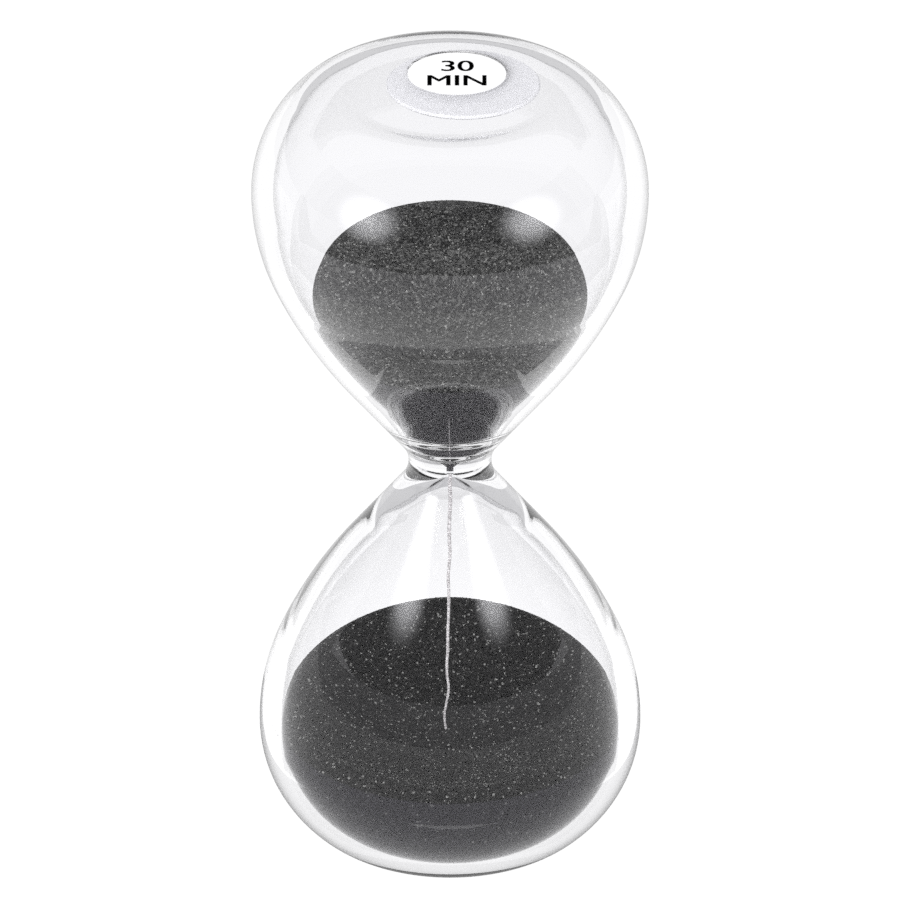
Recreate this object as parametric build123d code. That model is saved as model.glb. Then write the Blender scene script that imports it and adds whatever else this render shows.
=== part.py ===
from build123d import *
import os
from math import sin, cos, radians, sqrt

os.makedirs("parts", exist_ok=True)

# Free-standing blown glass sand timer, millimetres.
# The timer stands on Z = 0 with its axis on Z.  Both halves are the same, so the
# glass is drawn once as (radius, height above the neck) and mirrored.

half_height = 80.0        # neck to end face
max_radius = 37.35        # widest part of a bulb
neck_radius = 7.97        # outside of the neck
neck_arc = 7.15           # hollow curve of the neck
flank_angle = 38.06       # slope of the straight flank, from the axis
flank_arc = 102.9         # long curve above the straight flank
belly_angle = 24.21       # slope where the belly curve starts
belly_arc = 42.94         # belly curve
widest_at = 57.63         # height of the widest part above the neck
shoulder_arc = 25.79      # curve from the belly to the end
corner_arc = 14.0         # rounding between shoulder and the flat end

bore_radius = 0.65        # flow hole through the throat
bore_length = 1.0         # straight part of the hole, each side of the neck plane
throat_half = 6.5         # the throat piece reaches this far each way
end_inside = 76.56        # inside of the end face, above the neck
end_flat = 20.0           # flat part of that inside face
# rounded cup that feeds the flow hole, from the hole outwards
cup_points = [(0.68, 2.0), (1.4, 3.7), (3.6, 4.3), (5.6, 5.15), (7.2, 6.45), (8.2, 8.1)]
cup_lip = (10.6, 10.9)    # where the cup meets the bulb wall
# below the neck the hole opens as a plain cone instead
cone_points = [(0.7, 1.6), (1.3, 2.7), (8.0, 9.2)]
cone_lip = (12.26, 13.0)
# inside wall of a bulb, between the cup and the end
wall_points = [(14.59, 16.0), (23.34, 28.0), (28.87, 38.2), (32.39, 48.0), (33.45, 57.6),
               (31.72, 66.5), (27.62, 73.0)]

upper_level, upper_tilt = 34.3, 11.0      # sand surface on the axis above the neck, tilt
upper_pit, upper_pit_radius = 7.0, 19.0   # hollow drawn down over the flow hole
upper_fall, lower_fall = 0.0, 0.5         # slope from the rim of the hollow out to the glass
lower_level, lower_tilt = 52.0, 5.0       # same, measured below the neck
lower_pit, lower_pit_radius = 11.5, 30.7
mound_height, mound_radius = 2.2, 6.0     # fresh sand under the stream
stream_top, stream_foot = 0.42, 0.25      # stream radius at the hole and at the mound

plug_radius, plug_flange, plug_flange_thick = 4.0, 14.4, 0.8
plug_shift = (1.2, -1.5)                  # the flange sits a little to one side of the hole
label_radius, label_thick, label_recess = 9.1, 0.15, 0.35
recess_radius = 9.4
hole_at = (1.3, 4.7)                      # the filling hole is off the axis, towards the back


def outer_half():
    """Outside of one bulb as a wire from the axis at the neck to the axis at the end."""
    a, b = radians(flank_angle), radians(belly_angle)
    neck_c = (neck_radius + neck_arc, 0)
    neck_end = (neck_c[0] - neck_arc * cos(a), neck_arc * sin(a))
    belly_c = (max_radius - belly_arc, widest_at)
    belly_start = (belly_c[0] + belly_arc * cos(b), widest_at - belly_arc * sin(b))
    flank_c = (belly_start[0] - flank_arc * cos(b), belly_start[1] + flank_arc * sin(b))
    flank_start = (flank_c[0] + flank_arc * cos(a), flank_c[1] - flank_arc * sin(a))
    should_c = (max_radius - shoulder_arc, widest_at)
    rise = (half_height - corner_arc - widest_at) / (shoulder_arc - corner_arc)
    run = sqrt(1 - rise ** 2)
    corner_c = (should_c[0] + (shoulder_arc - corner_arc) * run, half_height - corner_arc)
    corner_start = (should_c[0] + shoulder_arc * run, widest_at + shoulder_arc * rise)

    def on(c, r, deg):
        return (c[0] + r * cos(radians(deg)), c[1] + r * sin(radians(deg)))

    neck = ThreePointArc((neck_radius, 0), on(neck_c, neck_arc, 180 - flank_angle / 2), neck_end)
    flank = Line(neck_end, flank_start)
    sweep = ThreePointArc(flank_start, on(flank_c, flank_arc, -(flank_angle + belly_angle) / 2), belly_start)
    belly = ThreePointArc(belly_start, on(belly_c, belly_arc, -belly_angle / 2), (max_radius, widest_at))
    mid = 0.5 * (should_c[0] + shoulder_arc * run + max_radius)
    mid_up = widest_at + sqrt(shoulder_arc ** 2 - (mid - should_c[0]) ** 2)
    shoulder = ThreePointArc((max_radius, widest_at), (mid, mid_up), corner_start)
    c_mid = on(corner_c, corner_arc, 75)
    corner = ThreePointArc(corner_start, c_mid, (corner_c[0], half_height))
    top = Line((corner_c[0], half_height), (0, half_height))
    return [Line((0, 0), (neck_radius, 0)), neck, flank, sweep, belly, shoulder, corner, top]


def inner_half(mouth, lip):
    """Hollow of one bulb: flow hole, its mouth, bulb wall, inside of the end."""
    bore = Line((bore_radius, 0), (bore_radius, bore_length))
    cup = Spline((bore_radius, bore_length), *mouth, lip, tangents=[(0, 1), (0.78, 1)])
    wall = Spline(lip, *wall_points, (end_flat, end_inside), tangents=[(0.78, 1), (-1, 0)])
    end = Line((end_flat, end_inside), (0, end_inside))
    return [Line((0, 0), (bore_radius, 0)), bore, cup, wall, end]


def half_face(edges):
    """The flat shape between a half outline and the axis."""
    return Plane.XZ * make_face([*edges, Line(edges[-1] @ 1, (0, 0))])


def strip(low, high):
    return Plane.XZ * Pos(60, (low + high) / 2) * Rectangle(120, high - low)


def turn(face, below=False):
    """Turn a flat shape round the axis, at the neck, upright or upside down."""
    solid = revolve(face, Axis.Z, 360)
    if below:
        solid = mirror(solid, Plane.XY)
    return Pos(0, 0, half_height) * solid


def surface_cutter(level, tilt, pit, pit_radius, mound, mound_r, fall):
    """Everything above a tilted sand surface that has a hollow in the middle."""
    lip = Spline((mound_r, -pit), (0.62 * pit_radius, -0.58 * pit), (pit_radius, 0))
    outside = (60, -fall * (60 - pit_radius))
    edges = [Line((0, mound - pit), (mound_r, -pit)), lip, Line((pit_radius, 0), outside),
             Line(outside, (60, 150)), Line((60, 150), (0, 150)), Line((0, 150), (0, mound - pit))]
    solid = revolve(Plane.XZ * make_face(edges), Axis.Z, 360)
    return Pos(0, 0, level) * Rot(tilt, 0, 0) * solid


def glass_pieces(upper, lower):
    bulb_zone, neck_zone = strip(throat_half, half_height + 1), strip(0, throat_half)
    hole = Pos(*hole_at, 2 * half_height - 5) * Cylinder(plug_radius, 20)
    recess = Pos(*hole_at, 2 * half_height - label_recess / 2) * Cylinder(recess_radius, label_recess)
    neck = (upper & neck_zone) + mirror(lower & neck_zone, Plane.XY)
    return turn(upper & bulb_zone) - hole - recess, turn(lower & bulb_zone, True), turn(neck)


def fill_plug():
    top = 2 * half_height - label_recess
    under = half_height + end_inside
    stem = Pos(0, 0, (top + under) / 2) * Cylinder(plug_radius, top - under)
    flange = Pos(*plug_shift, under - plug_flange_thick / 2) * Cylinder(plug_flange, plug_flange_thick)
    return Pos(*hole_at, 0) * (stem + flange)


def time_label():
    z = 2 * half_height - label_recess + label_thick / 2
    return Pos(*hole_at, z) * Cylinder(label_radius, label_thick)


def sand_pieces(upper, lower):
    upper = turn(upper) - surface_cutter(half_height + upper_level, upper_tilt, upper_pit,
                                         upper_pit_radius, 0.0, 2.0, upper_fall)
    lower = turn(lower, True) - surface_cutter(half_height - lower_level, lower_tilt, lower_pit,
                                               lower_pit_radius, mound_height, mound_radius, lower_fall)
    length = half_height - 15
    stream = Pos(0, 0, half_height - length / 2) * Rot(180, 0, 0) * Cone(stream_top, stream_foot, length)
    return upper, lower, stream - lower


body = half_face(outer_half())
cup_side = half_face(inner_half(cup_points, cup_lip))
cone_side = half_face(inner_half(cone_points, cone_lip))
upper_bulb, lower_bulb, throat = glass_pieces(body - cup_side, body - cone_side)
upper_sand, lower_sand, sand_stream = sand_pieces(cup_side, cone_side)

nodes = {"upper_bulb": upper_bulb, "lower_bulb": lower_bulb, "throat": throat,
         "fill_plug": fill_plug(), "time_label": time_label(),
         "upper_sand": upper_sand, "lower_sand": lower_sand, "sand_stream": sand_stream}
for name, shape in nodes.items():
    export_step(shape, "parts/" + name + ".step")
    box = shape.bounding_box()
    print(name, "solids", len(shape.solids()), "volume", round(shape.volume),
          "z", round(box.min.Z, 2), round(box.max.Z, 2))
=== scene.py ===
import math
import bpy
import bmesh
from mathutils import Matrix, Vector, noise


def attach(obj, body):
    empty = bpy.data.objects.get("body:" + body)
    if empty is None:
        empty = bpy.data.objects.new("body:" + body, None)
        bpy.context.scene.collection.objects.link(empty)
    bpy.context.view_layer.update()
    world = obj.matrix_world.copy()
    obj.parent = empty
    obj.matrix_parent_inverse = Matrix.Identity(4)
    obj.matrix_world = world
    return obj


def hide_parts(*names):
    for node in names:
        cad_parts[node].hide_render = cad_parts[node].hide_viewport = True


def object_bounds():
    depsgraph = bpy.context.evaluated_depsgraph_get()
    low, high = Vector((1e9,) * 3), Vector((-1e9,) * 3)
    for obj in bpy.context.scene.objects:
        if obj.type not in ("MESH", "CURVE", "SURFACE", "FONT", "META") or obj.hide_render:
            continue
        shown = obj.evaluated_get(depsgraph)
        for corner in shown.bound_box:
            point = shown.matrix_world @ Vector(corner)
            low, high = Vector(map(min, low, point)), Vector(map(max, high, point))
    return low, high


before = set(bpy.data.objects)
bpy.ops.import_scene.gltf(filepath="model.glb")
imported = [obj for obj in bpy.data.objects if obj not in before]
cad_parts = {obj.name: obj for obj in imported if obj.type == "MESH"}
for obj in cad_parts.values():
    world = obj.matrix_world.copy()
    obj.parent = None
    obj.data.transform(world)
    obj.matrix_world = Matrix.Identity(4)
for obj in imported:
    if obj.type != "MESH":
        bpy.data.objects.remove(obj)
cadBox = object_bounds()
scene = bpy.context.scene
mm = 0.001
middle = (cadBox[0].z + cadBox[1].z) / 2      # the neck, half way up

# camera and studio

studio = {
    "elevation": 29.0,          # degrees above the horizon
    "distance": 1.2742,
    "lens": 265.5,
    "aimHeight": 0.00197,       # above the neck
    "worldStrength": 0.62,
    "worldTint": (0.985, 0.985, 1.0),
    "floorReach": 3,
    "floorTone": (0.05, 0.05, 0.05),
    "floorGlow": 0.955,
    "cardRough": 0.9,
    "topPlace": (-0.2, -0.85, 1.0),
    "topSize": (0.6, 0.6),
    "topPower": 13.0,
    "topAim": (0, 0, 0.08),
    "sideCard": (0.12, 0.11),   # width, height of the two small soft cards
    "sideGlow": 13.0,
    "sideTint": (0.97, 0.97, 1.0),
    "sideCore": 0.5,            # glow is full from this share of the way in
    "sideTurn": 44.0,           # degrees off the front
    "sideAway": 0.15,
    "sideRise": 0.18,
    "sideAim": (0, 0, 0.13),
    "bandTint": (0.97, 0.96, 1.0),
    "bandReach": 88,            # degrees each side of the front
    "bandFade": 0.2,            # the glow changes from this share of the height up
    "tentRadius": 0.17,         # low white wall round the front
    "tentHeight": 0.087,
    "tentGlow": (1.05, 1.1),    # at its foot and at its top
    "collar": (0.06, 0.055),    # radius, height of a darker ring close round the lower bulb
    "collarGlow": (0.03, 0.42),
    "roomRadius": 0.24,         # dark room above and behind that wall
    "roomHeight": 0.30,
    "midFloor": (0.168, 1.3, 0.0003),   # reach, glow and lift of the floor as the glass mirrors it
    "nearFloor": (0.056, 0.1, 0.0006),
    # brighter floor behind, seen only through the glass: across, deep, lift and glow
    "behind": ((-0.12, 0.12), (0.03, 0.19), 0.0009, 1.13),
    "bounces": 32,
    "glossyBounces": 16,
}


def addNode(tree, kind, **values):
    node = tree.nodes.new(kind)
    for key, value in values.items():
        if hasattr(node, key):
            setattr(node, key, value)
        else:
            node.inputs[key].default_value = value
    return node


def makeCamera():
    camData = bpy.data.cameras.new("camera")
    cam = bpy.data.objects.new("camera", camData)
    scene.collection.objects.link(cam)
    aim = Vector((0, 0, middle + studio["aimHeight"]))
    tilt = math.radians(studio["elevation"])
    cam.location = aim + Vector((0, -math.cos(tilt), math.sin(tilt))) * studio["distance"]
    cam.rotation_euler = (aim - cam.location).to_track_quat("-Z", "Y").to_euler()
    camData.lens = studio["lens"]
    camData.sensor_width = 36
    camData.clip_end = 50
    scene.camera = cam


def softbox(name, place, size, power, aim):
    light = bpy.data.lights.new(name, "AREA")
    light.shape = "RECTANGLE"
    light.size, light.size_y = size
    light.energy = power
    ob = bpy.data.objects.new(name, light)
    ob.location = place
    ob.rotation_euler = (Vector(aim) - Vector(place)).to_track_quat("-Z", "Y").to_euler()
    ob.visible_glossy = False
    ob.visible_transmission = False
    scene.collection.objects.link(ob)


def flatCard(name, corners, tone=(0, 0, 0), faces=((0, 1, 2, 3),)):
    mesh = bpy.data.meshes.new(name)
    mesh.from_pydata(corners, [], faces)
    ob = bpy.data.objects.new(name, mesh)
    scene.collection.objects.link(ob)
    mat = bpy.data.materials.new(name)
    mat.use_nodes = True
    shader = mat.node_tree.nodes["Principled BSDF"]
    shader.inputs["Base Color"].default_value = (*tone, 1)
    shader.inputs["Roughness"].default_value = studio["cardRough"]
    mesh.materials.append(mat)
    return ob


def glowCard(name, across, deep, height, glow, tone=(0, 0, 0)):
    ob = flatCard(name, [(across[0], deep[0], height), (across[1], deep[0], height),
                         (across[1], deep[1], height), (across[0], deep[1], height)], tone)
    shader = ob.data.materials[0].node_tree.nodes["Principled BSDF"]
    shader.inputs["Emission Color"].default_value = (1, 1, 1, 1)
    shader.inputs["Emission Strength"].default_value = glow
    return ob


def bandCard(name, radius, low, high, glow, steps=48):
    verts = []
    reach = studio["bandReach"]
    for i in range(steps + 1):
        a = math.radians(-90 - reach + 2 * reach * i / steps)
        verts += [(radius * math.cos(a), radius * math.sin(a), level) for level in (low, high)]
    ob = flatCard(name, verts, faces=[(2 * i, 2 * i + 2, 2 * i + 3, 2 * i + 1) for i in range(steps)])
    tree = ob.data.materials[0].node_tree
    shader = tree.nodes["Principled BSDF"]
    shader.inputs["Emission Color"].default_value = (*studio["bandTint"], 1)
    coords = tree.nodes.new("ShaderNodeTexCoord")
    split = tree.nodes.new("ShaderNodeSeparateXYZ")
    tree.links.new(coords.outputs["Object"], split.inputs["Vector"])
    fade = addNode(tree, "ShaderNodeMapRange", interpolation_type="SMOOTHSTEP",
                   **{"From Min": low + studio["bandFade"] * (high - low), "From Max": high,
                      "To Min": glow[0], "To Max": glow[1]})
    tree.links.new(split.outputs["Z"], fade.inputs["Value"])
    tree.links.new(fade.outputs["Result"], shader.inputs["Emission Strength"])
    onlyInReflections(ob)


def onlyInReflections(ob):
    ob.visible_camera = False
    ob.visible_diffuse = False
    ob.visible_transmission = False
    ob.visible_shadow = False
    ob.visible_volume_scatter = False


def softCard(name, place, size, glow, aim):
    w, h = size[0] / 2, size[1] / 2
    turn = (Vector(aim) - Vector(place)).to_track_quat("-Z", "Y").to_matrix().to_4x4()
    turn.translation = Vector(place)
    corners = ((-w, -h, 0), (w, -h, 0), (w, h, 0), (-w, h, 0))
    ob = flatCard(name, [turn @ Vector(c) for c in corners])
    layer = ob.data.uv_layers.new(name="across")
    for loop, uv in zip(layer.data, ((-1, -1), (1, -1), (1, 1), (-1, 1))):
        loop.uv = uv
    tree = ob.data.materials[0].node_tree
    shader = tree.nodes["Principled BSDF"]
    uvNode = tree.nodes.new("ShaderNodeUVMap")
    uvNode.uv_map = "across"
    fade = tree.nodes.new("ShaderNodeTexGradient")
    fade.gradient_type = "SPHERICAL"
    tree.links.new(uvNode.outputs["UV"], fade.inputs["Vector"])
    level = tree.nodes.new("ShaderNodeMapRange")
    level.inputs["From Max"].default_value = studio["sideCore"]
    level.inputs["To Max"].default_value = glow
    tree.links.new(fade.outputs["Fac"], level.inputs["Value"])
    shader.inputs["Emission Color"].default_value = (*studio["sideTint"], 1)
    tree.links.new(level.outputs["Result"], shader.inputs["Emission Strength"])
    clear = tree.nodes.new("ShaderNodeBsdfTransparent")
    mix = tree.nodes.new("ShaderNodeMixShader")
    tree.links.new(fade.outputs["Fac"], mix.inputs["Fac"])
    tree.links.new(clear.outputs[0], mix.inputs[1])
    tree.links.new(shader.outputs[0], mix.inputs[2])
    tree.links.new(mix.outputs[0], tree.nodes["Material Output"].inputs["Surface"])
    onlyInReflections(ob)


def makeStudio():
    world = bpy.data.worlds.new("studioWorld")
    world.use_nodes = True
    back = world.node_tree.nodes["Background"]
    back.inputs["Color"].default_value = (*studio["worldTint"], 1)
    back.inputs["Strength"].default_value = studio["worldStrength"]
    scene.world = world
    across = (-studio["floorReach"], studio["floorReach"])
    glowCard("floor", across, across, 0, studio["floorGlow"], studio["floorTone"])
    bandCard("tentWall", studio["tentRadius"], 0, studio["tentHeight"], studio["tentGlow"])
    for name in ("midFloor", "nearFloor"):
        reach, glow, lift = studio[name]
        onlyInReflections(glowCard(name, (-reach, reach), (-reach, reach), lift, glow))
    behind = glowCard("behindFloor", *studio["behind"])
    onlyInReflections(behind)
    behind.visible_glossy = False
    behind.visible_transmission = True
    bandCard("collar", studio["collar"][0], 0, studio["collar"][1], studio["collarGlow"])
    bandCard("darkRoom", studio["roomRadius"], 0, studio["roomHeight"], (0.0, 0.0))
    turn = math.radians(studio["sideTurn"])
    for side, name in ((-1, "leftCard"), (1, "rightCard")):
        place = (side * studio["sideAway"] * math.sin(turn), -studio["sideAway"] * math.cos(turn),
                 studio["sideRise"])
        softCard(name, place, studio["sideCard"], studio["sideGlow"], studio["sideAim"])
    softbox("topBox", studio["topPlace"], studio["topSize"], studio["topPower"], studio["topAim"])
    scene.view_settings.view_transform = "Standard"
    scene.cycles.max_bounces = studio["bounces"]
    scene.cycles.transmission_bounces = studio["bounces"]
    scene.cycles.glossy_bounces = studio["glossyBounces"]
    scene.cycles.use_denoising = False      # it would smear the grains


makeCamera()
makeStudio()
print("camera and studio set")

# outlines of the glass

bulbShape = {                   # one half, millimetres from the neck plane
    "halfHeight": 80.0,
    "widest": 37.35,
    "neck": 7.97,
    "neckArc": 7.15,
    "flankAngle": 38.06,
    "flankArc": 102.9,
    "bellyAngle": 24.21,
    "bellyArc": 42.94,
    "widestAt": 57.63,
    "shoulderArc": 25.79,
    "cornerArc": 14.0,
    "wall": 3.1,
    "swell": 0.8,               # the wall is this much thicker near the widest part
    "swellReach": 24.0,
    "bore": 0.65,
    "cupWidth": 8.6,
    "cupHeight": 10.0,
    "cupFloor": 4.0,
    "boreSteps": ((1.0, 0.0), (1.0, 0.25), (1.05, 0.5)),    # shares of the bore and of the cup floor
    "mouth": 1.4,
    "mouthAt": 0.93,            # share of the cup floor
    "cupBlend": 0.8,            # the wall takes over this far above the cup
    "lowerBore": 0.8,
    "cone": [(0.7, 1.6), (1.3, 2.7), (4.6, 5.9), (8.0, 9.2), (12.26, 13.0)],   # under the neck
    "coneBlend": 1.5,
    "endStep": 0.4,             # last step of the inside wall, towards the axis
}
curveSteps = {"neck": 14, "straight": 9, "sweep": 16, "belly": 24, "shoulder": 28, "corner": 16}


def arcPoints(centre, radius, start, end, count):
    return [(centre[0] + radius * math.cos(start + (end - start) * i / count),
             centre[1] + radius * math.sin(start + (end - start) * i / count))
            for i in range(count + 1)]


def outerCurve():
    b, steps = bulbShape, curveSteps
    flank, belly = math.radians(b["flankAngle"]), math.radians(b["bellyAngle"])
    neck = arcPoints((b["neck"] + b["neckArc"], 0), b["neckArc"], math.pi, math.pi - flank, steps["neck"])
    bellyC = (b["widest"] - b["bellyArc"], b["widestAt"])
    bellyLow = (bellyC[0] + b["bellyArc"] * math.cos(belly), bellyC[1] - b["bellyArc"] * math.sin(belly))
    sweepC = (bellyLow[0] - b["flankArc"] * math.cos(belly),
              bellyLow[1] + b["flankArc"] * math.sin(belly))
    sweep = arcPoints(sweepC, b["flankArc"], -flank, -belly, steps["sweep"])
    count = steps["straight"]
    straight = [(neck[-1][0] + (sweep[0][0] - neck[-1][0]) * i / count,
                 neck[-1][1] + (sweep[0][1] - neck[-1][1]) * i / count) for i in range(1, count)]
    bellyPts = arcPoints(bellyC, b["bellyArc"], -belly, 0, steps["belly"])
    shoulderC = (b["widest"] - b["shoulderArc"], b["widestAt"])
    apart = b["shoulderArc"] - b["cornerArc"]
    turn = math.asin((b["halfHeight"] - b["cornerArc"] - b["widestAt"]) / apart)
    shoulder = arcPoints(shoulderC, b["shoulderArc"], 0, turn, steps["shoulder"])
    cornerC = (shoulderC[0] + apart * math.cos(turn), b["halfHeight"] - b["cornerArc"])
    corner = arcPoints(cornerC, b["cornerArc"], turn, math.pi / 2, steps["corner"])
    return neck + straight + sweep + bellyPts[1:] + shoulder[1:] + corner[1:]


def smoothThrough(points, steps):
    curve = []
    for i in range(len(points) - 1):
        a, b = points[max(i - 1, 0)], points[i]
        c, e = points[i + 1], points[min(i + 2, len(points) - 1)]
        for k in range(steps):
            t = k / steps
            curve.append(tuple(0.5 * (2 * b[j] + (c[j] - a[j]) * t
                                      + (2 * a[j] - 5 * b[j] + 4 * c[j] - e[j]) * t * t
                                      + (3 * b[j] - a[j] - 3 * c[j] + e[j]) * t ** 3) for j in (0, 1)))
    return curve + [points[-1]]


def wallAt(height):
    b = bulbShape
    return b["wall"] + b["swell"] * math.exp(-((height - b["widestAt"]) / b["swellReach"]) ** 2)


def wallPoints(lower):
    b = bulbShape
    outer = outerCurve()
    wall = []
    for i in range(1, len(outer) - 1):
        dx, dy = outer[i + 1][0] - outer[i - 1][0], outer[i + 1][1] - outer[i - 1][1]
        length = math.hypot(dx, dy)
        thick = wallAt(outer[i][1])
        wall.append((outer[i][0] - dy / length * thick, outer[i][1] + dx / length * thick))
    wall.append((wall[-1][0] - b["endStep"], b["halfHeight"] - wallAt(b["halfHeight"])))
    lowest = b["cone"][-1][1] + b["coneBlend"] if lower else b["cupHeight"] + b["cupBlend"]
    return [p for p in wall if p[1] > lowest]


def neckPoints(lower):
    b = bulbShape
    if lower:
        return [(b["bore"], 0), (b["bore"], b["lowerBore"])] + b["cone"]
    cup = [(b["bore"] * wide, b["cupFloor"] * up) for wide, up in b["boreSteps"]]
    cup.append((b["mouth"], b["cupFloor"] * b["mouthAt"]))
    for i in range(1, 10):      # a quarter turn in ten steps
        a = -math.pi / 2 + math.pi / 20 * i
        cup.append((b["mouth"] + (b["cupWidth"] - b["mouth"]) * math.cos(a),
                    b["cupHeight"] + (b["cupHeight"] - b["cupFloor"]) * math.sin(a)))
    return cup


def innerCurve(inset=0.0, lower=False):
    wall, steps = wallPoints(lower), 5
    curve = smoothThrough(neckPoints(lower) + wall[:2], steps)[:-steps] + wall[1:]
    if not inset:
        return curve
    moved = []
    for i, p in enumerate(curve):
        q, r = curve[max(i - 1, 0)], curve[min(i + 1, len(curve) - 1)]
        dx, dy = r[0] - q[0], r[1] - q[1]
        length = math.hypot(dx, dy)
        moved.append((max(p[0] - dy / length * inset, 0.05), p[1] + dx / length * inset))
    return moved


def lathe(name, outline, segments=128):
    verts, faces, rings = [], [], []
    for radius, height in outline:
        if radius < 1e-6:
            rings.append([len(verts)])
            verts.append((0, 0, height * mm))
        else:
            rings.append(list(range(len(verts), len(verts) + segments)))
            verts += [(radius * mm * math.cos(2 * math.pi * k / segments),
                       radius * mm * math.sin(2 * math.pi * k / segments), height * mm)
                      for k in range(segments)]
    for low, high in zip(rings, rings[1:]):
        for k in range(segments):
            n = (k + 1) % segments
            if len(low) == 1 and len(high) == 1:
                continue
            if len(low) == 1:
                faces.append((low[0], high[n], high[k]))
            elif len(high) == 1:
                faces.append((low[k], low[n], high[0]))
            else:
                faces.append((low[k], low[n], high[n], high[k]))
    mesh = bpy.data.meshes.new(name)
    mesh.from_pydata(verts, [], faces)
    cleanMesh(mesh)
    ob = bpy.data.objects.new(name, mesh)
    scene.collection.objects.link(ob)
    return ob


def cleanMesh(mesh, sharp=35):
    bm = bmesh.new()
    bm.from_mesh(mesh)
    bmesh.ops.remove_doubles(bm, verts=bm.verts, dist=1e-7)
    bmesh.ops.recalc_face_normals(bm, faces=bm.faces)
    bm.to_mesh(mesh)
    bm.free()
    for face in mesh.polygons:
        face.use_smooth = True
    mesh.set_sharp_from_angle(angle=math.radians(sharp))


def place(ob, material, slotName, *nodes):
    ob.data.materials.clear()
    ob.data.materials.append(material)
    if nodes:
        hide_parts(*nodes)
    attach(ob, "root")


# sand material

grainLook = {
    "contrast": 2.5,
    "rough": (0.45, 0.9),
    "relief": 0.0003,
    "specular": 0.06,
    "pressedPaintedLightShare": 0.55,       # how far the grain colour is mixed towards the painted light where the sand lies against the glass
}


def makeGrainGroup():
    group = bpy.data.node_groups.new("sandGrain", "ShaderNodeTree")
    for name, kind in (("Scale", "Float"), ("Dark", "Color"), ("Light", "Color"), ("Spark", "Color"),
                       ("Spark amount", "Float"), ("Contrast", "Float")):
        group.interface.new_socket(name=name, in_out="INPUT", socket_type="NodeSocket" + kind)
    for name, kind in (("Color", "Color"), ("Rough", "Float"), ("Height", "Float")):
        group.interface.new_socket(name=name, in_out="OUTPUT", socket_type="NodeSocket" + kind)
    start, end = group.nodes.new("NodeGroupInput"), group.nodes.new("NodeGroupOutput")
    link = group.links.new
    coords = group.nodes.new("ShaderNodeTexCoord")
    cells = addNode(group, "ShaderNodeTexVoronoi", feature="F1")
    link(coords.outputs["Object"], cells.inputs["Vector"])
    link(start.outputs["Scale"], cells.inputs["Scale"])
    pick = group.nodes.new("ShaderNodeSeparateColor")
    link(cells.outputs["Color"], pick.inputs["Color"])
    body = addNode(group, "ShaderNodeMix", data_type="RGBA")
    curve = addNode(group, "ShaderNodeMath", operation="POWER")
    link(pick.outputs["Red"], curve.inputs[0])
    link(start.outputs["Contrast"], curve.inputs[1])
    link(curve.outputs[0], body.inputs["Factor"])
    link(start.outputs["Dark"], body.inputs["A"])
    link(start.outputs["Light"], body.inputs["B"])
    # painted glint: a small random share of grain cells takes the Spark colour
    threshold = addNode(group, "ShaderNodeMath", operation="SUBTRACT")
    threshold.inputs[0].default_value = 1.0
    link(start.outputs["Spark amount"], threshold.inputs[1])
    isSpark = addNode(group, "ShaderNodeMath", operation="GREATER_THAN")
    link(pick.outputs["Green"], isSpark.inputs[0])
    link(threshold.outputs[0], isSpark.inputs[1])
    mixed = addNode(group, "ShaderNodeMix", data_type="RGBA")
    link(isSpark.outputs[0], mixed.inputs["Factor"])
    link(body.outputs["Result"], mixed.inputs["A"])
    link(start.outputs["Spark"], mixed.inputs["B"])
    link(mixed.outputs["Result"], end.inputs["Color"])
    smoothest, roughest = grainLook["rough"]
    rough = addNode(group, "ShaderNodeMapRange", **{"To Min": smoothest, "To Max": roughest})
    link(pick.outputs["Blue"], rough.inputs["Value"])
    link(rough.outputs["Result"], end.inputs["Rough"])
    height = addNode(group, "ShaderNodeMath", operation="SUBTRACT")
    height.inputs[0].default_value = 1.0
    link(cells.outputs["Distance"], height.inputs[1])
    link(height.outputs[0], end.inputs["Height"])
    return group


grainGroup = makeGrainGroup()


def sandMaterial(name, dark, light, spark, amount, scale, bump, pressedPaintedLight=None):
    mat = bpy.data.materials.new(name)
    mat.use_nodes = True
    tree = mat.node_tree
    shader = tree.nodes["Principled BSDF"]
    grain = tree.nodes.new("ShaderNodeGroup")
    grain.node_tree = grainGroup
    for key, value in (("Scale", scale), ("Dark", (*dark, 1)), ("Light", (*light, 1)),
                       ("Spark", (*spark, 1)), ("Spark amount", amount),
                       ("Contrast", grainLook["contrast"])):
        grain.inputs[key].default_value = value
    if pressedPaintedLight:                 # painted light: where the sand lies against the glass, one lighter, bluish colour is mixed in for the reflection veil and the light through the glass, leaving the open heap darker
        where = addNode(tree, "ShaderNodeAttribute", attribute_name="openTop")
        paintedLightMix = addNode(tree, "ShaderNodeMix", data_type="RGBA")
        paintedLightMix.inputs["Factor"].default_value = grainLook["pressedPaintedLightShare"]
        tree.links.new(grain.outputs["Color"], paintedLightMix.inputs["A"])
        paintedLightMix.inputs["B"].default_value = (*pressedPaintedLight, 1)
        paintedLightZone = addNode(tree, "ShaderNodeMix", data_type="RGBA")
        tree.links.new(where.outputs["Fac"], paintedLightZone.inputs["Factor"])
        tree.links.new(paintedLightMix.outputs["Result"], paintedLightZone.inputs["A"])
        tree.links.new(grain.outputs["Color"], paintedLightZone.inputs["B"])
        tree.links.new(paintedLightZone.outputs["Result"], shader.inputs["Base Color"])
    else:
        tree.links.new(grain.outputs["Color"], shader.inputs["Base Color"])
    tree.links.new(grain.outputs["Rough"], shader.inputs["Roughness"])
    relief = addNode(tree, "ShaderNodeBump", Strength=bump, Distance=grainLook["relief"])
    tree.links.new(grain.outputs["Height"], relief.inputs["Height"])
    tree.links.new(relief.outputs["Normal"], shader.inputs["Normal"])
    shader.inputs["Specular IOR Level"].default_value = grainLook["specular"]
    return mat


# glass

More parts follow.
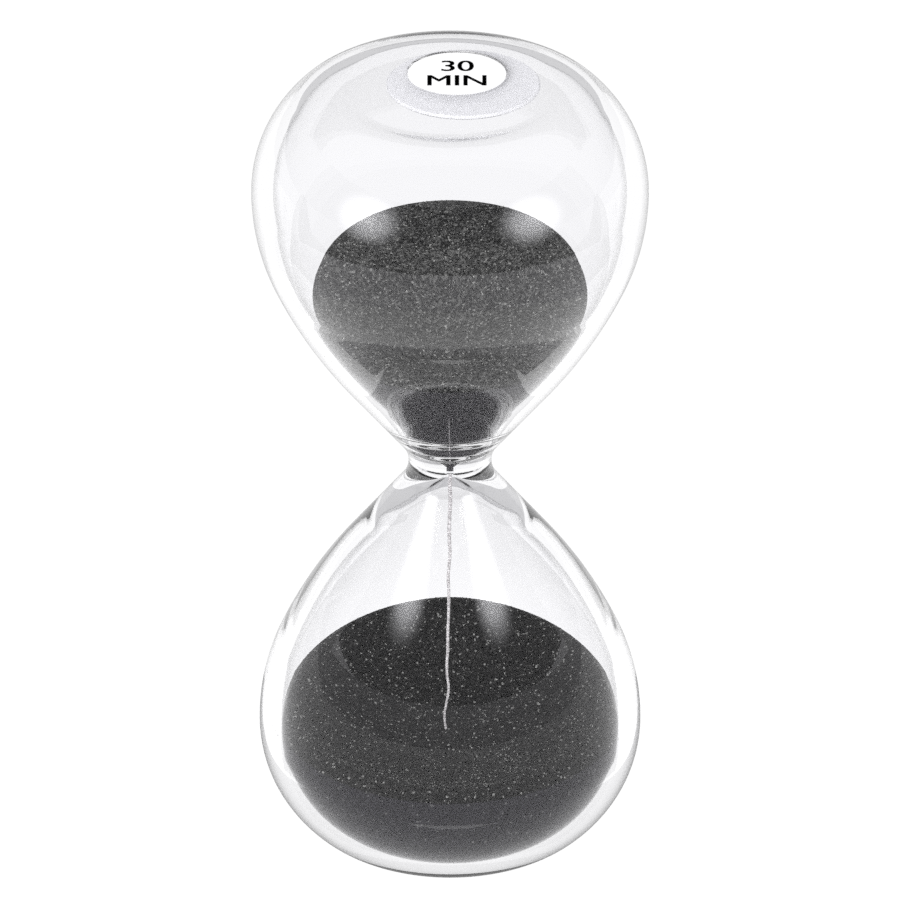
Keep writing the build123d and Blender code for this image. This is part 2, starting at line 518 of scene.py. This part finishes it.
glassLook = {
    "tint": (0.982, 0.982, 0.992),
    "ior": 1.48,
    "edge": (0.4, 0.4, 0.4),    # painted shade: grey mixed in where the glass is seen edge on, for its dark outline
    "edgeFrom": 0.72,
    "edgeMost": 0.75,
    "smear": 0.012,             # most roughness of the faint smears
    "smearScale": 28.0,
    "smearDetail": 3.0,
    "smearFrom": (0.5, 0.8),
    "shadow": (0.95, 0.95, 0.955),      # what the glass lets through to light the sand
}
endFit = {                      # label recess and filling hole in the top end
    "recessRadius": 9.4,
    "recessDepth": 0.35,
    "holeRadius": 4.02,
    "at": (1.3, 4.7),
    "chamfer": 0.05,
    "deep": 6,                  # points within this depth of the end move with the recess
}


def makeGlassMaterial():
    mat = bpy.data.materials.new("blownGlass")
    mat.use_nodes = True
    tree = mat.node_tree
    shader = tree.nodes["Principled BSDF"]
    shader.inputs["Base Color"].default_value = (*glassLook["tint"], 1)
    shader.inputs["Transmission Weight"].default_value = 1.0
    shader.inputs["IOR"].default_value = glassLook["ior"]
    coords = tree.nodes.new("ShaderNodeTexCoord")
    cloud = addNode(tree, "ShaderNodeTexNoise", Scale=glassLook["smearScale"],
                    Detail=glassLook["smearDetail"])
    tree.links.new(coords.outputs["Object"], cloud.inputs["Vector"])
    low, high = glassLook["smearFrom"]
    smear = addNode(tree, "ShaderNodeMapRange", **{"From Min": low, "From Max": high, "To Min": 0.0,
                                                   "To Max": glassLook["smear"]})
    tree.links.new(cloud.outputs["Fac"], smear.inputs["Value"])
    tree.links.new(smear.outputs["Result"], shader.inputs["Roughness"])
    # painted shade: a grey diffuse rim where the glass turns edge on
    facing = tree.nodes.new("ShaderNodeLayerWeight")
    rim = addNode(tree, "ShaderNodeMapRange", **{"From Min": glassLook["edgeFrom"], "From Max": 1.0,
                                                 "To Max": glassLook["edgeMost"]})
    tree.links.new(facing.outputs["Facing"], rim.inputs["Value"])
    edgeShadeBsdf = addNode(tree, "ShaderNodeBsdfDiffuse", Color=(*glassLook["edge"], 1))
    edged = tree.nodes.new("ShaderNodeMixShader")
    tree.links.new(rim.outputs["Result"], edged.inputs["Fac"])
    tree.links.new(shader.outputs["BSDF"], edged.inputs[1])
    tree.links.new(edgeShadeBsdf.outputs["BSDF"], edged.inputs[2])
    path = tree.nodes.new("ShaderNodeLightPath")
    clear = tree.nodes.new("ShaderNodeBsdfTransparent")
    clear.inputs["Color"].default_value = (*glassLook["shadow"], 1)
    mix = tree.nodes.new("ShaderNodeMixShader")     # light reaches the sand through the wall
    tree.links.new(path.outputs["Is Shadow Ray"], mix.inputs["Fac"])
    tree.links.new(edged.outputs["Shader"], mix.inputs[1])
    tree.links.new(clear.outputs["BSDF"], mix.inputs[2])
    tree.links.new(mix.outputs["Shader"], tree.nodes["Material Output"].inputs["Surface"])
    return mat


def makeGlass():
    half, hole, recess = bulbShape["halfHeight"], endFit["holeRadius"], endFit["recessRadius"]
    chamfer = endFit["chamfer"]
    outer, inner, innerLow = outerCurve(), innerCurve(), innerCurve(lower=True)
    base = [(0, 0)] + [(r, half - u) for r, u in reversed(outer)]
    upperOut = [(r, half + u) for r, u in outer[1:]]
    recessFloor = 2 * half - endFit["recessDepth"]
    fitting = [(recess + chamfer, 2 * half), (recess, 2 * half - chamfer), (recess, recessFloor),
               (hole, recessFloor), (hole, 2 * half - wallAt(half))]
    upperIn = [(r, half + u) for r, u in reversed(inner)]
    lowerIn = [(r, half - u) for r, u in innerLow[1:]] + [(0, half - innerLow[-1][1])]
    ob = lathe("timerGlass", base + upperOut + fitting + upperIn + lowerIn)
    for v in ob.data.vertices:
        near = math.hypot(v.co.x, v.co.y) < (recess + 2 * chamfer) * mm
        if near and v.co.z > (2 * half - endFit["deep"]) * mm:
            v.co.x += endFit["at"][0] * mm
            v.co.y += endFit["at"][1] * mm
    place(ob, makeGlassMaterial(), "glass", "upper_bulb", "lower_bulb", "throat")


makeGlass()
print("glass turned")

# sand

upperHeap = {
    "level": 34.3, "tilt": 11.0, "pit": 7.0, "pitRadius": 19.0, "curve": 1.3,
    "mound": 0.0, "moundRadius": 3.0, "fall": 0.0, "uneven": 0.35, "seed": 3.0,
}
lowerHeap = {
    "level": 52.0, "tilt": 5.0, "pit": 11.5, "pitRadius": 30.7, "curve": 2.0,
    "mound": 2.2, "moundRadius": 5.0, "fall": 0.5, "uneven": 0.6, "seed": 11.0,
}
heapMesh = {
    "around": 160, "wallSteps": 70, "topSteps": 56, "baseSteps": 10, "rimSteps": 40,
    "bottom": 0.05,             # the upper heap starts just above the neck plane
    "ease": 0.35,               # how far the wall steps crowd at both ends
    "bumps": 0.16, "bumpShape": (0.6, 2.1, 4),
    "fadeSteps": 4, "fadeOutside": 0.7,     # the unevenness dies out at the glass
}
sandLook = {
    "gap": 0.04,                # air between sand and glass, so the glass keeps its inner face
    "dark": (0.002, 0.002, 0.002),
    "light": (0.125, 0.125, 0.12),
    # spark: a brighter colour on a few grains, a painted glint
    "spark": (0.24, 0.24, 0.23),
    "amount": 0.02,
    # lightLowPaintedShade: the same sand made darker for the lower heap, painted shade
    "lightLowPaintedShade": (0.034, 0.033, 0.032),
    # pressed tones: lighter and bluish where the sand lies against the glass, painted light for the
    # reflection veil; the lower one is also darker, painted shade
    "pressedPaintedLight": (0.112, 0.109, 0.119),
    "pressedLowPaintedLight": (0.05, 0.048, 0.058),
    "scale": 2700.0,
    "bump": 0.8,
}


def radiusAt(curve, height):
    for a, b in zip(curve, curve[1:]):
        if a[1] <= height <= b[1] and b[1] > a[1]:
            return a[0] + (b[0] - a[0]) * (height - a[1]) / (b[1] - a[1])
    return curve[-1][0]


def rimHeight(curve, heap, sign, turn):
    rim, slope = heap["level"], math.tan(math.radians(heap["tilt"]))
    for _ in range(heapMesh["rimSteps"]):
        back = radiusAt(curve, rim) * math.sin(turn)
        past = max(radiusAt(curve, rim) - heap["pitRadius"], 0) * heap["fall"]
        rim = 0.5 * rim + 0.5 * (heap["level"] + sign * slope * back - sign * past)
    return rim


def wallColumn(curve, rim, up):
    steps, ease = heapMesh["wallSteps"], heapMesh["ease"]
    if up:
        bottom = heapMesh["bottom"]
        heights = [bottom + (rim - bottom) * i / steps for i in range(steps)]
        return [(radiusAt(curve, h), h) for h in heights]
    flat, bottom = curve[-1]
    count = heapMesh["baseSteps"]
    column = [(flat * i / count, bottom) for i in range(count)]
    for i in range(steps):
        f = i / steps
        h = bottom + (rim - bottom) * (f * f * (3 - 2 * f) * ease + f * (1 - ease))
        column.append((radiusAt(curve, h), h))
    return column


def topColumn(heap, edge, sign, turn):
    slope, steps = math.tan(math.radians(heap["tilt"])), heapMesh["topSteps"]
    column = []
    for i in range(steps + 1):
        r = edge * (1 - i / steps)
        x, y = r * math.cos(turn), r * math.sin(turn)
        if r < heap["pitRadius"]:
            drop = heap["pit"] * (1 - (r / heap["pitRadius"]) ** heap["curve"])
        else:
            drop = (r - heap["pitRadius"]) * heap["fall"]
        drop -= heap["mound"] * math.exp(-(r / heap["moundRadius"]) ** 2)
        fade = min(1, i / heapMesh["fadeSteps"]) if r > edge * heapMesh["fadeOutside"] else 1
        spot = Vector((x * heapMesh["bumps"], y * heapMesh["bumps"], heap["seed"]))
        rough = noise.fractal(spot, *heapMesh["bumpShape"]) * heap["uneven"] * fade
        z = bulbShape["halfHeight"] + sign * heap["level"] + slope * y - drop + rough
        column.append((x, y, z, 1))
    return column


def makeHeap(name, heap, up, node, material):
    curve = innerCurve(sandLook["gap"], not up)
    sign = 1 if up else -1
    half, around = bulbShape["halfHeight"], heapMesh["around"]
    columns = []
    for k in range(around):
        turn = 2 * math.pi * k / around
        rim = rimHeight(curve, heap, sign, turn)
        column = [(r * math.cos(turn), r * math.sin(turn), half + sign * h, 0)
                  for r, h in wallColumn(curve, rim, up)]
        columns.append(column + topColumn(heap, radiusAt(curve, rim), sign, turn))
    size = len(columns[0])
    verts = [(x * mm, y * mm, z * mm) for c in columns for x, y, z, _ in c]
    faces = []
    for k in range(around):
        n = (k + 1) % around
        for i in range(size - 1):
            faces.append((k * size + i, n * size + i, n * size + i + 1, k * size + i + 1))
    if up:
        middleVert = len(verts)
        verts.append((0, 0, columns[0][0][2] * mm))
        faces += [(middleVert, ((k + 1) % around) * size, k * size) for k in range(around)]
    mesh = bpy.data.meshes.new(name)
    mesh.from_pydata(verts, [], faces)
    # openTop marks the open surface; elsewhere the sand material mixes in its painted light
    openTop = mesh.attributes.new("openTop", "FLOAT", "POINT")
    flags = [c[3] for column in columns for c in column] + ([0] if up else [])
    openTop.data.foreach_set("value", [float(f) for f in flags])
    cleanMesh(mesh, 60)
    ob = bpy.data.objects.new(name, mesh)
    scene.collection.objects.link(ob)
    place(ob, material, "sand", node)
    return ob


def heapMaterial(name, light, pressedPaintedLight):
    return sandMaterial(name, sandLook["dark"], light, sandLook["spark"],
                        sandLook["amount"], sandLook["scale"], sandLook["bump"], pressedPaintedLight)


# one sand in two copies: the lower heap's is darker, a painted shade; both mix in painted light against
# the glass
upperGrey = heapMaterial("upperSandGrey", sandLook["light"], sandLook["pressedPaintedLight"])
lowerSandPaintedShade = heapMaterial("lowerSandShadedCopy", sandLook["lightLowPaintedShade"], sandLook["pressedLowPaintedLight"])
upperSand = makeHeap("upperSand", upperHeap, True, "upper_sand", upperGrey)
lowerSand = makeHeap("lowerSand", lowerHeap, False, "lower_sand", lowerSandPaintedShade)
print("sand heaped")

# loose grains, scattered by one node tree

grainScatter = {
    "upper": {"density": 2.6e6, "size": 0.00013, "seed": 5},
    "lower": {"density": 2.0e6, "size": 0.00013, "seed": 8},
    "stream": {"density": 2.2e7, "size": 0.00009, "seed": 2},
    "tones": ((0.01, 0.01, 0.01), (0.15, 0.15, 0.145), (0.38, 0.38, 0.36)),   # dark, light, spark; spark is a painted glint
    "amount": 0.12, "bump": 0.2,
    "openFrom": 0.9,            # grains lie only where openTop is above this
    "turn": 6.3, "smallest": (0.6, 0.6, 0.6), "largest": (1.4, 1.2, 1.2),
}


def makeScatterTree():
    tree = bpy.data.node_groups.new("grainScatter", "GeometryNodeTree")
    sockets = tree.interface
    sockets.new_socket(name="Geometry", in_out="INPUT", socket_type="NodeSocketGeometry")
    for name, kind in (("Density", "Float"), ("Grain size", "Float"), ("Seed", "Int"),
                       ("Grain material", "Material")):
        sockets.new_socket(name=name, in_out="INPUT", socket_type="NodeSocket" + kind)
    sockets.new_socket(name="Geometry", in_out="OUTPUT", socket_type="NodeSocketGeometry")
    start, end = tree.nodes.new("NodeGroupInput"), tree.nodes.new("NodeGroupOutput")
    link = tree.links.new
    openTop = addNode(tree, "GeometryNodeInputNamedAttribute", data_type="FLOAT")
    openTop.inputs["Name"].default_value = "openTop"
    isOpen = addNode(tree, "FunctionNodeCompare", data_type="FLOAT", operation="GREATER_THAN")
    link(openTop.outputs["Attribute"], isOpen.inputs["A"])
    isOpen.inputs["B"].default_value = grainScatter["openFrom"]
    points = tree.nodes.new("GeometryNodeDistributePointsOnFaces")
    link(start.outputs["Geometry"], points.inputs["Mesh"])
    link(isOpen.outputs["Result"], points.inputs["Selection"])
    link(start.outputs["Density"], points.inputs["Density"])
    link(start.outputs["Seed"], points.inputs["Seed"])
    grain = tree.nodes.new("GeometryNodeMeshIcoSphere")
    grain.inputs["Subdivisions"].default_value = 1
    link(start.outputs["Grain size"], grain.inputs["Radius"])
    turn = addNode(tree, "FunctionNodeRandomValue", data_type="FLOAT_VECTOR")
    turn.inputs["Max"].default_value = [grainScatter["turn"]] * 3
    link(start.outputs["Seed"], turn.inputs["Seed"])
    grow = addNode(tree, "FunctionNodeRandomValue", data_type="FLOAT_VECTOR")
    grow.inputs["Min"].default_value = grainScatter["smallest"]
    grow.inputs["Max"].default_value = grainScatter["largest"]
    link(start.outputs["Seed"], grow.inputs["Seed"])
    spread = tree.nodes.new("GeometryNodeInstanceOnPoints")
    link(points.outputs["Points"], spread.inputs["Points"])
    link(grain.outputs["Mesh"], spread.inputs["Instance"])
    link(turn.outputs["Value"], spread.inputs["Rotation"])
    link(grow.outputs["Value"], spread.inputs["Scale"])
    real = tree.nodes.new("GeometryNodeRealizeInstances")
    link(spread.outputs["Instances"], real.inputs["Geometry"])
    dress = tree.nodes.new("GeometryNodeSetMaterial")
    link(real.outputs["Geometry"], dress.inputs["Geometry"])
    link(start.outputs["Grain material"], dress.inputs["Material"])
    link(dress.outputs["Geometry"], end.inputs["Geometry"])
    return tree


scatterTree = makeScatterTree()
grainMat = sandMaterial("looseGrain", *grainScatter["tones"], grainScatter["amount"], sandLook["scale"],
                        grainScatter["bump"])


def plainMesh(ob):
    bpy.context.view_layer.update()
    return bpy.data.meshes.new_from_object(ob.evaluated_get(bpy.context.evaluated_depsgraph_get()))


def scatterGrains(name, ground, settings, material):
    holder = bpy.data.objects.new(name, ground.data.copy())
    scene.collection.objects.link(holder)
    modifier = holder.modifiers.new("grains", "NODES")
    modifier.node_group = scatterTree
    given = {"Density": settings["density"], "Grain size": settings["size"], "Seed": settings["seed"],
             "Grain material": material}
    for item in scatterTree.interface.items_tree:
        if item.in_out == "INPUT" and item.name in given:
            modifier[item.identifier] = given[item.name]
    mesh = plainMesh(holder)
    holder.modifiers.clear()
    mesh.name = name
    for face in mesh.polygons:
        face.use_smooth = True
    holder.data = mesh
    place(holder, material, "sand")
    print(name, len(mesh.polygons), "faces")


scatterGrains("upperGrains", upperSand, grainScatter["upper"], grainMat)
scatterGrains("lowerGrains", lowerSand, grainScatter["lower"], grainMat)

# falling sand

streamShape = {
    "top": 78.6, "foot": 18.6, "topRadius": 0.34, "footRadius": 0.2, "steps": 90, "around": 8,
    "straight": 0.06,           # share of the fall before it starts to stray
    "wander": 0.6, "wanderScale": 0.16, "drift": -0.9, "driftBend": 1.5, "swell": 0.18, "swellScale": 1.3,
}
streamLook = {
    "tones": ((0.6, 0.58, 0.58), (0.95, 0.92, 0.92), (0.95, 0.93, 0.93)),     # dark, light, spark; near white, though the falling sand is the dark sand of the heaps: painted glow and painted glints
    "amount": 0.2, "scale": 3200.0, "bump": 0.1,
}


def makeStream():
    s = streamShape
    verts, faces = [], []
    for i in range(s["steps"] + 1):
        f = i / s["steps"]
        z = s["top"] + (s["foot"] - s["top"]) * f
        free = max(0, f - s["straight"])
        stray, at = s["wander"] * free ** 0.5, z * s["wanderScale"]
        x = s["drift"] * free ** s["driftBend"] + stray * noise.noise(Vector((at, 2.0, 5.0)))
        y = stray * noise.noise(Vector((at, 9.0, 1.0)))
        r = s["topRadius"] + (s["footRadius"] - s["topRadius"]) * f
        r *= 1 + s["swell"] * noise.noise(Vector((z * s["swellScale"], 4.0, 4.0)))
        for k in range(s["around"]):
            a = 2 * math.pi * k / s["around"]
            verts.append(((x + r * math.cos(a)) * mm, (y + r * math.sin(a)) * mm, z * mm))
    n = s["around"]
    for i in range(s["steps"]):
        for k in range(n):
            faces.append((i * n + k, i * n + (k + 1) % n, (i + 1) * n + (k + 1) % n, (i + 1) * n + k))
    faces += [tuple(range(n)), tuple(range(s["steps"] * n, s["steps"] * n + n))]
    mesh = bpy.data.meshes.new("fallingSand")
    mesh.from_pydata(verts, [], faces)
    cleanMesh(mesh, 60)
    ob = bpy.data.objects.new("fallingSand", mesh)
    scene.collection.objects.link(ob)
    flags = mesh.attributes.new("openTop", "FLOAT", "POINT")
    flags.data.foreach_set("value", [1.0] * len(mesh.vertices))
    streamMat = sandMaterial("streamSandPaintedGlow", *streamLook["tones"], streamLook["amount"],
                             streamLook["scale"], streamLook["bump"])
    place(ob, streamMat, "sand", "sand_stream")
    return ob


fallingSand = makeStream()
scatterGrains("streamGrains", fallingSand, grainScatter["stream"], fallingSand.data.materials[0])
print("stream falling")

# label and plug

labelShape = {
    "radius": 9.25, "low": 159.66, "high": 159.78, "edge": 0.04, "line1": "30", "line2": "MIN",
    "size": 6.4, "wide": 1.02, "bold": 0.1, "gap": 6.2, "ink": 0.02,
}
plugShape = {
    "top": 159.64, "stem": 3.98, "bevel": 0.1, "flange": 14.4, "thick": 0.8, "round": 0.3,
    "shift": (1.2, -1.5),       # the flange sits off centre from the stem
    "clear": 0.5,               # points this far outside the stem belong to the flange
}
fittingLook = {                 # colour, roughness, how much darker the specks are
    "paper": ((0.93, 0.93, 0.93), 0.55, 0.03),
    "ink": ((0.012, 0.012, 0.012), 0.5, 0.3),
    "silicone": ((0.95, 0.95, 0.97), 0.35, 0.03),
    "speckScale": 900.0, "speckDetail": 4.0,
}


def plainMaterial(name, colour, rough, speck):
    mat = bpy.data.materials.new(name)
    mat.use_nodes = True
    tree = mat.node_tree
    shader = tree.nodes["Principled BSDF"]
    shader.inputs["Roughness"].default_value = rough
    coords = tree.nodes.new("ShaderNodeTexCoord")
    cloud = addNode(tree, "ShaderNodeTexNoise", Scale=fittingLook["speckScale"],
                    Detail=fittingLook["speckDetail"])
    tree.links.new(coords.outputs["Object"], cloud.inputs["Vector"])
    mix = addNode(tree, "ShaderNodeMix", data_type="RGBA")
    tree.links.new(cloud.outputs["Fac"], mix.inputs["Factor"])
    mix.inputs["A"].default_value = (*[c * (1 - speck) for c in colour], 1)
    mix.inputs["B"].default_value = (*colour, 1)
    tree.links.new(mix.outputs["Result"], shader.inputs["Base Color"])
    return mat


def shift(ob, by):
    for v in ob.data.vertices:
        v.co.x += by[0] * mm
        v.co.y += by[1] * mm


def makeLabel():
    s = labelShape
    ob = lathe("timeLabel", [(0, s["low"]), (s["radius"], s["low"]), (s["radius"], s["high"] - s["edge"]),
                             (s["radius"] - s["edge"], s["high"]), (0, s["high"])], 96)
    shift(ob, endFit["at"])
    place(ob, plainMaterial("labelPaper", *fittingLook["paper"]), "label", "time_label")
    parts = []
    lines = ((s["line1"], 0.5), (s["line2"], -0.5))
    strikes = [(line, up, side) for line, up in lines for side in (-1, 0, 1)]
    for line, up, side in strikes:      # each line is struck three times for a bold face
        text = bpy.data.curves.new("print", "FONT")
        text.body = line
        text.align_x, text.align_y = "CENTER", "CENTER"
        text.extrude = s["ink"] / 2 / s["size"]
        holder = bpy.data.objects.new("print", text)
        scene.collection.objects.link(holder)
        mesh = plainMesh(holder)
        bpy.data.objects.remove(holder)
        for v in mesh.vertices:
            x, y, z = v.co * s["size"]
            v.co = Vector((x * s["wide"] + side * s["bold"], y + up * s["gap"],
                           z + s["high"] + s["ink"] / 2)) * mm
        parts.append(mesh)
    bm = bmesh.new()
    for mesh in parts:
        bm.from_mesh(mesh)
    joined = bpy.data.meshes.new("labelPrint")
    bm.to_mesh(joined)
    bm.free()
    cleanMesh(joined)
    ink = bpy.data.objects.new("labelPrint", joined)
    scene.collection.objects.link(ink)
    shift(ink, endFit["at"])
    place(ink, plainMaterial("blackInk", *fittingLook["ink"]), "label")


def makePlug():
    s, half = plugShape, bulbShape["halfHeight"]
    top, stemR, flangeR, bend = s["top"], s["stem"], s["flange"], s["round"]
    under = half * 2 - wallAt(half) - sandLook["gap"]
    low = under - s["thick"]
    stem = [(0, top), (stemR - s["bevel"], top), (stemR, top - s["bevel"]), (stemR, under)]
    flange = [(flangeR - bend, under), (flangeR, under - bend), (flangeR, low + bend),
              (flangeR - bend, low), (0, low)]
    ob = lathe("fillPlug", stem + flange, 96)
    for v in ob.data.vertices:
        outside = math.hypot(v.co.x, v.co.y) > (stemR + s["clear"]) * mm
        if outside and v.co.z < (under + 0.001) * mm:
            v.co.x += s["shift"][0] * mm
            v.co.y += s["shift"][1] * mm
    shift(ob, endFit["at"])
    place(ob, plainMaterial("paleSilicone", *fittingLook["silicone"]), "plug", "fill_plug")


makeLabel()
makePlug()
print("label and plug fitted")
